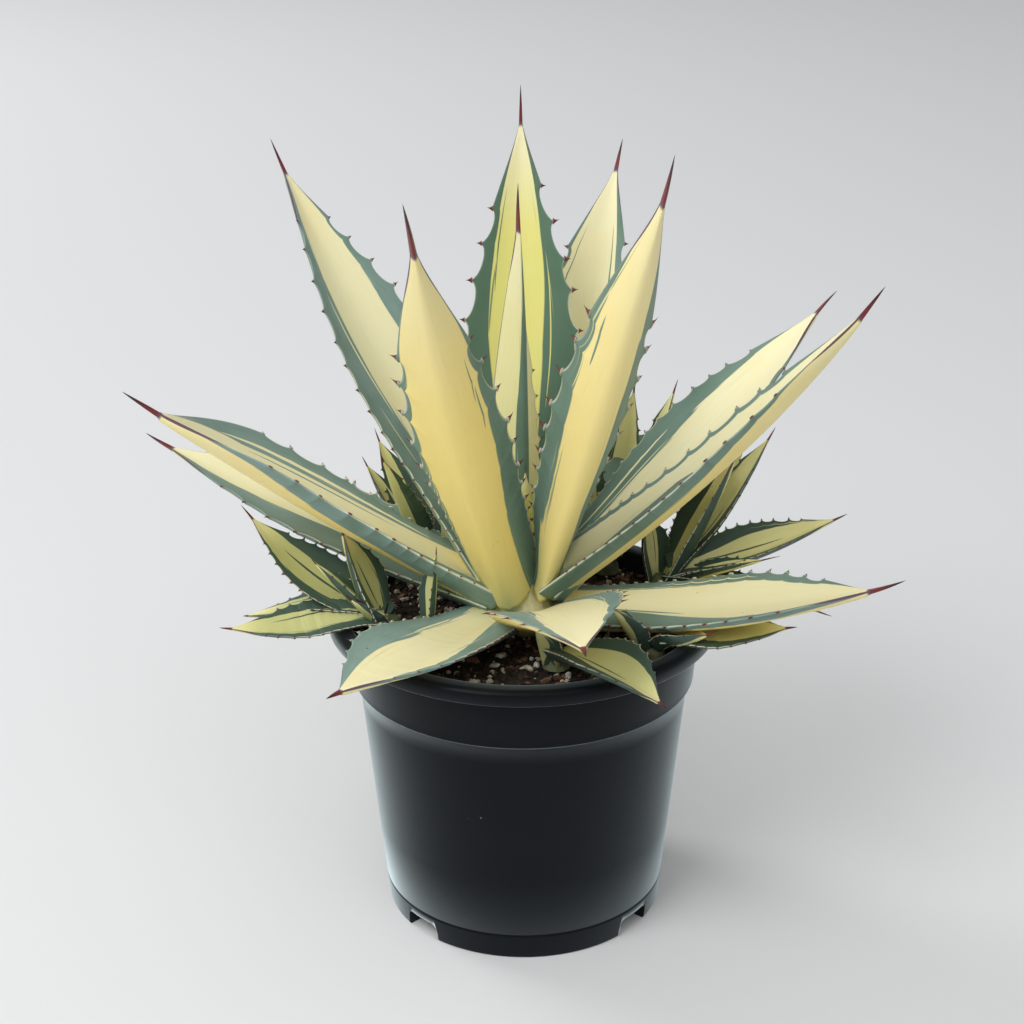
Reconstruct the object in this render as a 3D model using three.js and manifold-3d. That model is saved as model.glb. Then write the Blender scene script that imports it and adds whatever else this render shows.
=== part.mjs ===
// Potted agave: a variegated rosette with offsets round its foot, in a round nursery pot.
// Millimetres, +Z up, -Y towards the front. The floor is z = 0, and the origin is on the floor
// under the middle of the whole plant's spread.
import * as THREE from 'three';
import { mergeVertices } from 'three/addons/utils/BufferGeometryUtils.js';
import Module from 'manifold-3d';

const wasm = await Module();
wasm.setup();

// ---- Driving dimensions ----

const GAP = 0.4; // clearance left between neighbours that touch

const RIM_RADIUS = 127; // a pot 254 mm across its lip
const POT_HEIGHT = 211;
const BASE_RADIUS = 92.5;
const WALL = 2.2;
const LIP_DEPTH = 10; // the lip turns outward and down by this much
const LEDGE_HEIGHT = 166; // the collar starts at this step in the wall
const LEDGE_STEP = 3.4;
const LEDGE_RADIUS = 112;
const COLLAR_RADIUS = 116; // outside of the collar, just under the lip
const FLOOR_HEIGHT = 18; // underside of the pot's floor
const FOOT_WIDTH = 8; // radial width of the foot ring
const NOTCH = { angles: [43, 141, 223, 321], wide: 27, high: 12 }; // gaps in the foot ring, in degrees
const DRAIN_HOLE = { count: 5, radius: 6, ring: 58 };

const SOIL_HEIGHT = 196; // at the pot wall
const SOIL_MOUND = 3; // the soil rises by this much round the stem
const STEM_TOP = 238; // height of the short stem that all the main leaves grow from
const STEM_RADIUS = 24;

const ROUND_SEGMENTS = 44;
const LEAF_RING = 8; // points round a leaf's section: five on the inner face, three on the outer
const LEAF_STATIONS = 8; // steps along a main leaf
const OFFSET_STATIONS = 6; // steps along an offset's leaf

// A leaf's own proportions, as fractions
const OFFSET_BASE_WIDTH = 0.62; // width of an offset's leaf at the base against its widest
const OFFSET_WIDEST_AT = 0.47; // place of its widest section along the blade
const TIP_WIDTH = 0.05; // width where the terminal spine starts
const THICKNESS = 0.17; // thickness at the base against the width
const THINNING = 0.72; // how much of that thickness is gone at the tip
const CURVE_POWER = 1.2; // how late along the blade the bend comes
const FOLD_POWER = 1.5; // how the V of the section opens from the midrib to the margins

// Main leaves, from the heart outwards. Angles are in degrees: azimuth is where the leaf points
// (0 right, 90 back, -90 front), turn is how far it swings sideways towards its tip, rise and end
// are its slopes at the base and tip, fold is the steepness of its V section and roll its tilt about
// its own length. base is the width at the base against the widest, and peak the place of the widest
// section along the blade. out and height place the base from the stem's axis and the floor.
// name, azimuth, turn, rise, end, length, width, base, peak, fold, roll, out, height, spine
const MAIN_LEAVES = [
  ['centre_spear', -95, -3, 93, 80, 230, 53, 0.62, 0.42, 64, 28, 3, 234, 31],
  ['inner_leaf', -83, 3, 84, 90, 177, 38, 0.62, 0.42, 48, -4, -7, 232, 14],
  ['heart_bud', -84, 0, 87, 87, 76, 25, 0.62, 0.42, 50, -10, 10, 232, 6],
  ['front_left_leaf', -119, 14, 60, 66, 291, 89, 0.74, 0.45, 46, 26, 18, 223, 33],
  ['front_right_leaf', -57, -6, 64, 66, 308, 79, 0.62, 0.47, 52, -27, 18, 227, 31],
  ['back_centre_leaf', 90, 0, 66, 80, 286, 86, 0.62, 0.47, 25, -2, 18, 232, 25],
  ['back_right_leaf', 68, 2, 55, 54, 283, 82, 0.62, 0.47, 24, 2, 18, 228, 24],
  ['upper_left_leaf', 144, -2, 51, 59, 304, 91, 0.62, 0.5, 23, -4, 18, 222, 25],
  ['upper_right_leaf', 14, 12, 41, 43, 250, 88, 0.62, 0.52, 14, -1, 18, 220, 20],
  ['right_leaf', -5, -14, 37, 56, 269, 73, 0.85, 0.6, 21, 0, 18, 224, 25],
  ['low_left_leaf', 183, 20, 30, 39, 251, 96, 0.54, 0.66, 19, 1, 18, 219, 28],
  ['rear_left_leaf', 118, 0, 32, 38, 235, 80, 0.62, 0.47, 22, 0, 18, 216, 24],
  ['rear_right_leaf', 42, 0, 24, 28, 225, 80, 0.62, 0.47, 22, 0, 18, 216, 24],
  ['lower_left_leaf', 160, 0, 15, 22, 247, 81, 0.62, 0.5, 22, -9, 18, 211, 22],
  ['low_right_leaf', -22, -14, 6, 27, 224, 84, 0.62, 0.56, 14, 3, 18, 209, 26],
  ['rear_leaf', 92, 0, 12, 2, 205, 80, 0.62, 0.47, 20, 0, 18, 212, 20],
  ['front_drooping_leaf', -126, -3, 5, 3, 161, 84, 0.62, 0.58, 12, 4, 18, 208, 12],
  ['front_stub_leaf', -77, -7, 30, 8, 184, 85, 0.62, 0.5, 14, 5, 18, 207, 14],
];

// Offsets: young rosettes that stand in the soil at [x, y] on short stems of their own.
// Each leaf: azimuth, rise, end, length, width, fold, roll, height, spine
const OFFSETS = {
  left_offset: {
    at: [-84, -26],
    leaves: [
      [168, 66, 72, 67, 52, 18, 0, 206, 4],
      [-140, 45, 50, 37, 24, 30, 0, 208, 7],
      [185, 44, 52, 61, 24, 36, 0, 208, 5],
      [155, 18, 46, 112, 47, 20, -12, 208, 12],
      [194, -3, 10, 97, 44, 12, -8, 213, 8],
      [165, -3, -10, 94, 38, 20, 0, 213, 4],
    ],
  },
  left_shoot: {
    at: [-66, -28],
    leaves: [
      [30, 80, 86, 50, 22, 40, 0, 206, 6],
    ],
  },
  left_rear_offset: {
    at: [-60, 70],
    leaves: [
      [-120, 58, 62, 106, 30, 40, 0, 212, 8],
      [130, 50, 56, 90, 36, 25, 0, 210, 10],
      [155, 51, 59, 77, 30, 25, 0, 210, 8],
      [40, 74, 80, 84, 28, 25, 0, 210, 8],
      [105, 22, 28, 112, 34, 25, 0, 210, 10],
    ],
  },
  right_rear_offset: {
    at: [58, 78],
    leaves: [
      [-140, 80, 84, 92, 28, 38, 0, 212, 8],
      [60, 71, 77, 113, 40, 25, 0, 210, 10],
      [25, 66, 72, 120, 36, 25, 0, 210, 10],
      [160, 82, 86, 68, 26, 25, 0, 210, 7],
      [0, 72, 76, 89, 28, 25, 0, 210, 8],
    ],
  },
  right_offset: {
    at: [92, 38],
    leaves: [
      [140, 80, 84, 48, 34, 25, 0, 210, 5],
      [10, 60, 66, 92, 46, 30, 0, 211, 12],
      [25, 46, 54, 115, 40, 22, 0, 210, 10],
      [50, 34, 40, 112, 32, 25, 0, 210, 9],
      [-2, 17, 27, 116, 44, 34, 18, 212, 10],
      [-25, 22, 24, 70, 26, 30, 0, 210, 14],
      [-32, 8, -9, 110, 30, 25, 0, 214, 9],
    ],
  },
  front_right_offset: {
    at: [80, -58],
    leaves: [
      [-155, 53, 59, 36, 28, 42, 0, 208, 4],
      [-40, 28, 32, 40, 34, 34, 0, 208, 12],
      [-8, 9, 11, 78, 48, 10, 6, 212, 7],
    ],
  },
  front_offset: {
    at: [20, -68],
    leaves: [
      [-150, 70, 74, 26, 28, 42, 0, 204, 3],
      [-84, 50, 50, 16, 16, 35, 0, 203, 2],
      [-52, 12, -12, 90, 52, 24, 0, 211, 7],
    ],
  },
};
const OFFSET_STEM = { radius: 9, top: 214 };
const OFFSET_LEAF_OUT = 6; // an offset's leaves start this far from its stem's axis

// ---- Materials ----

const material = (color, roughness) => new THREE.MeshStandardMaterial({ color, roughness, metalness: 0 });
const LEAF = material(0xcfc88c, 0.55);
const OFFSET_LEAF = material(0x9aa860, 0.55);
const STEM = material(0xd8d2a0, 0.7);
const POT = material(0x14161a, 0.42);
const SOIL = material(0x2e211a, 0.95);

// ---- Solids ----

const radians = THREE.MathUtils.degToRad;

/** A closed three.js geometry as a manifold-3d solid. */
function solidOf(geometry) {
  geometry.deleteAttribute('normal');
  geometry.deleteAttribute('uv');
  const merged = mergeVertices(geometry, 1e-4);
  const vertProperties = new Float32Array(merged.attributes.position.array);
  const triVerts = new Uint32Array(merged.index.array);
  return new wasm.Manifold(new wasm.Mesh({ numProp: 3, vertProperties, triVerts }));
}

/** A manifold-3d solid as a three.js geometry. */
function geometryOf(solid) {
  const mesh = solid.getMesh();
  const geometry = new THREE.BufferGeometry();
  geometry.setAttribute('position', new THREE.BufferAttribute(mesh.vertProperties, 3));
  geometry.setIndex(new THREE.BufferAttribute(mesh.triVerts, 1));
  return geometry;
}

/** A solid of revolution about Z at [x, y], from [radius, height] points. */
function turned(profile, [x, y] = [0, 0], segments = ROUND_SEGMENTS) {
  const points = profile.map(([radius, height]) => new THREE.Vector2(radius, height));
  const geometry = new THREE.LatheGeometry(points, segments);
  geometry.rotateX(Math.PI / 2);
  geometry.translate(x, y, 0);
  return solidOf(geometry);
}

/** The largest of the separate pieces that a solid consists of. */
function largestPiece(solid) {
  return solid.decompose().reduce((best, piece) => (piece.volume() > best.volume() ? piece : best));
}

// ---- Pot ----

/** Radius of the pot's outside at a height below the ledge. */
function wallRadius(height) {
  return THREE.MathUtils.lerp(BASE_RADIUS, LEDGE_RADIUS - LEDGE_STEP, height / LEDGE_HEIGHT);
}

function potSolid() {
  const footInside = BASE_RADIUS - FOOT_WIDTH;
  const floorTop = FLOOR_HEIGHT + WALL;
  const lipBottom = POT_HEIGHT - LIP_DEPTH;
  const shell = turned([
    [0, FLOOR_HEIGHT],
    [footInside - 2, FLOOR_HEIGHT],
    [footInside, FLOOR_HEIGHT - 2],
    [footInside, 0],
    [BASE_RADIUS - 1, 0],
    [BASE_RADIUS, 1],
    [wallRadius(LEDGE_HEIGHT - 1), LEDGE_HEIGHT - 1],
    [LEDGE_RADIUS, LEDGE_HEIGHT + 0.5],
    [COLLAR_RADIUS, lipBottom],
    [COLLAR_RADIUS + 0.3, POT_HEIGHT - WALL - 1],
    [RIM_RADIUS - WALL, POT_HEIGHT - WALL - 1.5],
    [RIM_RADIUS - WALL + 0.2, lipBottom],
    [RIM_RADIUS, lipBottom],
    [RIM_RADIUS - 0.4, POT_HEIGHT - 2.5],
    [RIM_RADIUS - 2.5, POT_HEIGHT - 0.4],
    [RIM_RADIUS - 5, POT_HEIGHT],
    [COLLAR_RADIUS - 1, POT_HEIGHT - 0.8],
    [COLLAR_RADIUS - WALL, POT_HEIGHT - 3],
    [LEDGE_RADIUS - WALL, LEDGE_HEIGHT + 0.5],
    [wallRadius(LEDGE_HEIGHT) - WALL, LEDGE_HEIGHT - 2],
    [wallRadius(floorTop + 3) - WALL, floorTop + 3],
    [wallRadius(floorTop) - WALL - 3, floorTop],
    [0, floorTop],
  ]);
  const cuts = [];
  for (const angle of NOTCH.angles) {
    const geometry = new THREE.BoxGeometry(FOOT_WIDTH * 3, NOTCH.wide, NOTCH.high * 2);
    geometry.translate(BASE_RADIUS, 0, 0);
    geometry.rotateZ(radians(angle));
    cuts.push(solidOf(geometry));
  }
  for (let i = 0; i < DRAIN_HOLE.count; i += 1) {
    const geometry = new THREE.CylinderGeometry(DRAIN_HOLE.radius, DRAIN_HOLE.radius, WALL * 4, 12);
    geometry.rotateX(Math.PI / 2);
    geometry.translate(DRAIN_HOLE.ring, 0, FLOOR_HEIGHT + WALL / 2);
    geometry.rotateZ(radians((360 / DRAIN_HOLE.count) * i));
    cuts.push(solidOf(geometry));
  }
  return cuts.reduce((pot, cut) => pot.subtract(cut), shell);
}

/** The space of the pot's rim with clearance round it: leaves that pass over the rim stay out of it. */
function rimSpace() {
  const [inside, outside] = [COLLAR_RADIUS - WALL - 1, RIM_RADIUS + GAP];
  const [bottom, top] = [SOIL_HEIGHT - 4, POT_HEIGHT + GAP];
  return turned([[inside, bottom], [outside, bottom], [outside, top], [inside, top], [inside, bottom]]);
}

// ---- Soil and stems ----

/** The soil fills the pot with a slight mound round the stem; grow adds clearance round it. */
function soilSolid(grow = 0) {
  const floor = FLOOR_HEIGHT + WALL + GAP - grow;
  const inside = (height) => wallRadius(height) - WALL - GAP + grow;
  const collarInside = LEDGE_RADIUS - WALL - GAP + grow;
  const slope = (COLLAR_RADIUS - LEDGE_RADIUS) / (POT_HEIGHT - LEDGE_HEIGHT);
  const edge = collarInside + slope * (SOIL_HEIGHT - LEDGE_HEIGHT) - 0.5;
  return turned([
    [0, floor],
    [inside(floor) - 4, floor],
    [inside(floor + 4) - 0.5, floor + 4],
    [inside(LEDGE_HEIGHT - 3), LEDGE_HEIGHT - 3],
    [collarInside - 0.5, LEDGE_HEIGHT + 2],
    [edge, SOIL_HEIGHT + grow],
    [90, SOIL_HEIGHT + 0.6 + grow],
    [50, SOIL_HEIGHT + SOIL_MOUND * 0.8 + grow],
    [0, SOIL_HEIGHT + SOIL_MOUND + grow],
  ]);
}

function stemSolid(grow = 0) {
  const bottom = SOIL_HEIGHT + SOIL_MOUND + GAP;
  return turned([
    [0, bottom - grow],
    [STEM_RADIUS + grow, bottom - grow],
    [STEM_RADIUS - 2 + grow, bottom + 14],
    [STEM_RADIUS - 8 + grow, STEM_TOP - 8],
    [STEM_RADIUS - 15 + grow, STEM_TOP + grow],
    [0, STEM_TOP + grow],
  ], [0, 0], 20);
}

function offsetStemSolid(at, grow = 0) {
  const bottom = SOIL_HEIGHT + SOIL_MOUND + GAP;
  const { radius, top } = OFFSET_STEM;
  return turned([
    [0, bottom - grow],
    [radius + grow, bottom - grow],
    [radius - 1 + grow, bottom + 6],
    [radius - 5 + grow, top + grow],
    [0, top + grow],
  ], at, 12);
}

// ---- Leaves ----

/** Width along a blade against its widest: broad base, widest near the middle, long taper. */
function widthAt(along, { base, peak }) {
  if (along < peak) {
    return base + (1 - base) * Math.sin((along / peak) * (Math.PI / 2)) ** 2;
  }
  const past = (along - peak) / (1 - peak);
  return TIP_WIDTH + (1 - TIP_WIDTH) * (1 - past ** 1.75) ** 1.25;
}

/** The leaf's frame along its midrib: where it is, and its length, side and inner-face directions. */
function leafFrames(leaf, stations) {
  const frames = [];
  const point = new THREE.Vector3(
    leaf.at[0] + leaf.out * Math.cos(radians(leaf.azimuth)),
    leaf.at[1] + leaf.out * Math.sin(radians(leaf.azimuth)),
    leaf.height,
  );
  for (let i = 0; i <= stations; i += 1) {
    const along = i / stations;
    const slope = radians(leaf.rise + (leaf.end - leaf.rise) * along ** CURVE_POWER);
    const heading = radians(leaf.azimuth + leaf.turn * along);
    const length = new THREE.Vector3(
      Math.cos(slope) * Math.cos(heading),
      Math.cos(slope) * Math.sin(heading),
      Math.sin(slope),
    );
    const side = new THREE.Vector3(-Math.sin(heading), Math.cos(heading), 0);
    side.applyAxisAngle(length, radians(leaf.roll));
    const inner = new THREE.Vector3().crossVectors(length, side);
    if (i > 0) {
      const middle = new THREE.Vector3().addVectors(length, frames[i - 1].length);
      point.addScaledVector(middle, leaf.length / stations / 2);
    }
    frames.push({ along, length, side, inner, point: point.clone() });
  }
  return frames;
}

/**
 * A leaf as a closed solid: a sphere's rows of vertices become the blade's sections, and its two
 * poles the middle of the base and the point of the terminal spine. grow adds clearance all round.
 */
function leafSolid(leaf, grow = 0) {
  const frames = leafFrames(leaf, leaf.stations);
  const rows = leaf.stations + 2;
  const geometry = new THREE.SphereGeometry(1, LEAF_RING, rows);
  const { position, uv } = geometry.attributes;
  const across = [-1, -0.55, 0, 0.55, 1, 0.55, 0, -0.55];
  const fold = radians(leaf.fold);
  const vertex = new THREE.Vector3();
  for (let i = 0; i < position.count; i += 1) {
    const row = Math.round((1 - uv.getY(i)) * rows);
    const column = Math.round(uv.getX(i) * LEAF_RING) % LEAF_RING;
    const frame = frames[THREE.MathUtils.clamp(row - 1, 0, leaf.stations)];
    vertex.copy(frame.point);
    if (row === 0) {
      vertex.addScaledVector(frame.length, -grow);
    } else if (row === rows) {
      vertex.addScaledVector(frame.length, leaf.spine + 3 * grow);
    } else {
      const s = across[column];
      const half = (leaf.width / 2) * widthAt(frame.along, leaf);
      const thick = leaf.width * THICKNESS * (1 - THINNING * frame.along);
      const isInnerFace = column <= 4;
      const face = isInnerFace ? 0.25 * thick + grow : -0.75 * thick - grow;
      const swell = (1 - s * s) ** 0.7;
      const lift = half * Math.abs(s) ** FOLD_POWER * Math.sin(fold) + face * swell;
      vertex.addScaledVector(frame.side, s * (half * Math.cos(fold) + 1.5 * grow));
      vertex.addScaledVector(frame.inner, lift);
      if (row === 1) {
        vertex.addScaledVector(frame.length, -grow);
      }
    }
    position.setXYZ(i, vertex.x, vertex.y, vertex.z);
  }
  return solidOf(geometry);
}

function mainLeaf([
  name, azimuth, turn, rise, end, length, width, base, peak, fold, roll, out, height, spine,
]) {
  const [at, stations] = [[0, 0], LEAF_STATIONS];
  return {
    name, at, stations, azimuth, turn, rise, end, length, width, base, peak, fold, roll, out, height, spine,
  };
}

function offsetLeaf(name, at, [azimuth, rise, end, length, width, fold, roll, height, spine]) {
  const [stations, turn, out] = [OFFSET_STATIONS, 0, OFFSET_LEAF_OUT];
  const [base, peak] = [OFFSET_BASE_WIDTH, OFFSET_WIDEST_AT];
  return {
    name, at, stations, azimuth, turn, rise, end, length, width, base, peak, fold, roll, out, height, spine,
  };
}

// ---- Assembly ----

const plant = new THREE.Group();
const occupied = []; // space that later pieces keep out of, with its clearance

function add(name, solid, look) {
  const mesh = new THREE.Mesh(geometryOf(solid), look);
  mesh.name = name;
  plant.add(mesh);
}

function boxesMeet(a, b) {
  return [0, 1, 2].every((i) => a.min[i] <= b.max[i] && b.min[i] <= a.max[i]);
}

/** Adds a leaf, cut back from the space of the pieces before it, and takes its own space. */
function nestle(leaf, look) {
  const solid = leafSolid(leaf);
  const box = solid.boundingBox();
  const neighbours = occupied.filter((space) => boxesMeet(box, space.boundingBox()));
  const trimmed = neighbours.reduce((piece, space) => piece.subtract(space), solid);
  add(leaf.name, largestPiece(trimmed), look);
  occupied.push(leafSolid(leaf, GAP).add(solid));
}

add('pot', potSolid(), POT);
add('soil', soilSolid(), SOIL);
add('stem', stemSolid(), STEM);
occupied.push(rimSpace(), soilSolid(GAP), stemSolid(GAP));
for (const [name, { at }] of Object.entries(OFFSETS)) {
  add(`${name}_stem`, offsetStemSolid(at), STEM);
  occupied.push(offsetStemSolid(at, GAP));
}
for (const row of MAIN_LEAVES) {
  nestle(mainLeaf(row), LEAF);
}
for (const [name, { at, leaves }] of Object.entries(OFFSETS)) {
  leaves.forEach((row, i) => nestle(offsetLeaf(`${name}_leaf_${i + 1}`, at, row), OFFSET_LEAF));
}

const middle = new THREE.Box3().setFromObject(plant).getCenter(new THREE.Vector3());
plant.position.set(-middle.x, -middle.y, 0);

export default plant;
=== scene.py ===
"""Potted variegated agave: the fine visual model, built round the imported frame.

Metres, +Z up, -Y towards the front. Every leaf is swept along the same midrib curve as its solid
in the frame, with scalloped margins, flat pointed teeth and a terminal spine.
"""
import math

import bmesh
import bpy
import numpy as np
from mathutils import Euler, Matrix, Vector


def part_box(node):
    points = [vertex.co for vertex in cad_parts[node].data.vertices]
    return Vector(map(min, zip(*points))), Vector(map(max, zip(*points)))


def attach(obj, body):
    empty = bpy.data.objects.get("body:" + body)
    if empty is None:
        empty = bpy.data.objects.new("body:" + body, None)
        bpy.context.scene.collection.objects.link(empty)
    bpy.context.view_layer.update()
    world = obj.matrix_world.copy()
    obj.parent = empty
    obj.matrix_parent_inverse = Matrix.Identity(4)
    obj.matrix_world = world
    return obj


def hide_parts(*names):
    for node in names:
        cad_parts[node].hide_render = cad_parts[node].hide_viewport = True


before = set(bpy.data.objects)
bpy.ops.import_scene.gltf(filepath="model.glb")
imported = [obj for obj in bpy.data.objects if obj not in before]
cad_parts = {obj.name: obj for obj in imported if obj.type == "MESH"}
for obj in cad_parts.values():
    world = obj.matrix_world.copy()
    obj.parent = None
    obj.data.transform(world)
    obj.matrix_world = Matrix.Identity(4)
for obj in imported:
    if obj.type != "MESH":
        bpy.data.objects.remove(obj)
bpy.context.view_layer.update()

MM = 0.001
POT_LOW, POT_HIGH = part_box("pot")
AXIS = np.array([(POT_LOW[0] + POT_HIGH[0]) / 2, (POT_LOW[1] + POT_HIGH[1]) / 2, 0.0])
POT_HEIGHT = POT_HIGH[2]
SOIL_MOUND = 3  # millimetres the mix rises from the wall to the middle
SOIL_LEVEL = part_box("soil")[1][2] - SOIL_MOUND * MM

# ---- Pot and soil measures, in millimetres and degrees ----

WALL = 2.2
FOOT_WIDTH = 8
BASE_RADIUS = 92.5
RIM_RADIUS = 127
LEDGE_HEIGHT = 166
LEDGE_RADIUS = 112
LEDGE_STEP = 3.4
COLLAR_RADIUS = 116
FLOOR_HEIGHT = 18
LIP_DEPTH = 10
NOTCH = dict(angles=(43, 141, 223, 321), wide=27, high=12, corner=4)
DRAIN_HOLE = dict(count=5, radius=6, ring=58)
SOIL_RADIUS = 112.2
RIM_CLEARANCE = 0.8
LIP_ROUNDING = 4.4
SOIL_BOTTOM_RADIUS = 84
SOIL_GAP = 0.7  # between the mix and the pot's wall
BARE_RADIUS = 26  # no loose grains nearer the main stem than this

# ---- Leaf shapes, in millimetres and degrees ----

TIP_WIDTH = 0.05
THICKNESS = 0.17
THINNING = 0.72
CURVE_POWER = 1.2
FOLD_POWER = 1.5
KEEL_ROUNDING = 0.035

# azimuth, turn, rise, end, length, width, base, peak, fold, roll, out, height, spine
MAIN_LEAVES = {
    "centre_spear": (-95, -3, 93, 80, 230, 53, 0.62, 0.42, 64, 28, 3, 234, 31),
    "inner_leaf": (-83, 3, 84, 90, 177, 38, 0.62, 0.42, 48, -4, -7, 232, 14),
    "heart_bud": (-84, 0, 87, 87, 76, 25, 0.62, 0.42, 50, -10, 10, 232, 6),
    "front_left_leaf": (-119, 14, 60, 66, 291, 89, 0.74, 0.45, 46, 26, 18, 223, 33),
    "front_right_leaf": (-57, -6, 64, 66, 308, 79, 0.62, 0.47, 52, -27, 18, 227, 31),
    "back_centre_leaf": (90, 0, 66, 80, 286, 86, 0.62, 0.47, 25, -2, 18, 232, 25),
    "back_right_leaf": (68, 2, 55, 54, 283, 82, 0.62, 0.47, 24, 2, 18, 228, 24),
    "upper_left_leaf": (144, -2, 51, 59, 304, 91, 0.62, 0.5, 23, -4, 18, 222, 25),
    "upper_right_leaf": (14, 12, 41, 43, 250, 88, 0.62, 0.52, 14, -1, 18, 220, 20),
    "right_leaf": (-5, -14, 37, 56, 269, 73, 0.85, 0.6, 21, 0, 18, 224, 25),
    "low_left_leaf": (183, 20, 30, 39, 251, 96, 0.54, 0.66, 19, 1, 18, 219, 28),
    "rear_left_leaf": (118, 0, 32, 38, 235, 80, 0.62, 0.47, 22, 0, 18, 216, 24),
    "rear_right_leaf": (42, 0, 24, 28, 225, 80, 0.62, 0.47, 22, 0, 18, 216, 24),
    "lower_left_leaf": (160, 0, 15, 22, 247, 81, 0.62, 0.5, 22, -9, 18, 211, 22),
    "low_right_leaf": (-22, -14, 6, 27, 224, 84, 0.62, 0.56, 14, 3, 18, 209, 26),
    "rear_leaf": (92, 0, 12, 2, 205, 80, 0.62, 0.47, 20, 0, 18, 212, 20),
    "front_drooping_leaf": (-126, -3, 5, 3, 161, 84, 0.62, 0.58, 12, 4, 18, 208, 12),
    "front_stub_leaf": (-77, -7, 30, 8, 184, 85, 0.62, 0.5, 14, 5, 18, 207, 14),
}

# Offsets: where each stands from the pot's axis, then its leaves:
# azimuth, rise, end, length, width, fold, roll, height, spine
OFFSETS = {
    "left_offset": ((-84, -26), [
        (168, 66, 72, 67, 52, 18, 0, 206, 4),
        (-140, 45, 50, 37, 24, 30, 0, 208, 7),
        (185, 44, 52, 61, 24, 36, 0, 208, 5),
        (155, 18, 46, 112, 47, 20, -12, 208, 12),
        (194, -3, 10, 97, 44, 12, -8, 213, 8),
        (165, -3, -10, 94, 38, 20, 0, 213, 4),
    ]),
    "left_shoot": ((-66, -28), [
        (30, 80, 86, 50, 22, 40, 0, 206, 6),
    ]),
    "left_rear_offset": ((-60, 70), [
        (-120, 58, 62, 106, 30, 40, 0, 212, 8),
        (130, 50, 56, 90, 36, 25, 0, 210, 10),
        (155, 51, 59, 77, 30, 25, 0, 210, 8),
        (40, 74, 80, 84, 28, 25, 0, 210, 8),
        (105, 22, 28, 112, 34, 25, 0, 210, 10),
    ]),
    "right_rear_offset": ((58, 78), [
        (-140, 80, 84, 92, 28, 38, 0, 212, 8),
        (60, 71, 77, 113, 40, 25, 0, 210, 10),
        (25, 66, 72, 120, 36, 25, 0, 210, 10),
        (160, 82, 86, 68, 26, 25, 0, 210, 7),
        (0, 72, 76, 89, 28, 25, 0, 210, 8),
    ]),
    "right_offset": ((92, 38), [
        (140, 80, 84, 48, 34, 25, 0, 210, 5),
        (10, 60, 66, 92, 46, 30, 0, 211, 12),
        (25, 46, 54, 115, 40, 22, 0, 210, 10),
        (50, 34, 40, 112, 32, 25, 0, 210, 9),
        (-2, 17, 27, 116, 44, 34, 18, 212, 10),
        (-25, 22, 24, 70, 26, 30, 0, 210, 14),
        (-32, 8, -9, 110, 30, 25, 0, 214, 9),
    ]),
    "front_right_offset": ((80, -58), [
        (-155, 53, 59, 36, 28, 42, 0, 208, 4),
        (-40, 28, 32, 40, 34, 34, 0, 208, 12),
        (-8, 9, 11, 78, 48, 10, 6, 212, 7),
    ]),
    "front_offset": ((20, -68), [
        (-150, 70, 74, 26, 28, 42, 0, 204, 3),
        (-84, 50, 50, 16, 16, 35, 0, 203, 2),
        (-52, 12, -12, 90, 52, 24, 0, 211, 7),
    ]),
}
OFFSET_LEAF_OUT = 6
OFFSET_BASE_WIDTH = 0.62
OFFSET_WIDEST_AT = 0.47

# ---- Leaf colouring ----

# Where the yellow band of a face ends on its left-hand and right-hand halves (inner face up, tip
# towards the reader), as places from the midrib (0) to the margin (1), at the base, a quarter, half,
# three quarters and the tip. A place past 1 leaves no green; one below 0 takes it past the midrib.
STATIONS = (0.0, 0.25, 0.5, 0.75, 1.0)
PLAIN = ((0.6, 0.55, 0.6, 0.75, 0.95), (0.6, 0.55, 0.6, 0.75, 0.95))
NO_GREEN = (1.2, 1.2, 1.2, 1.2, 1.2)

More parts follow.
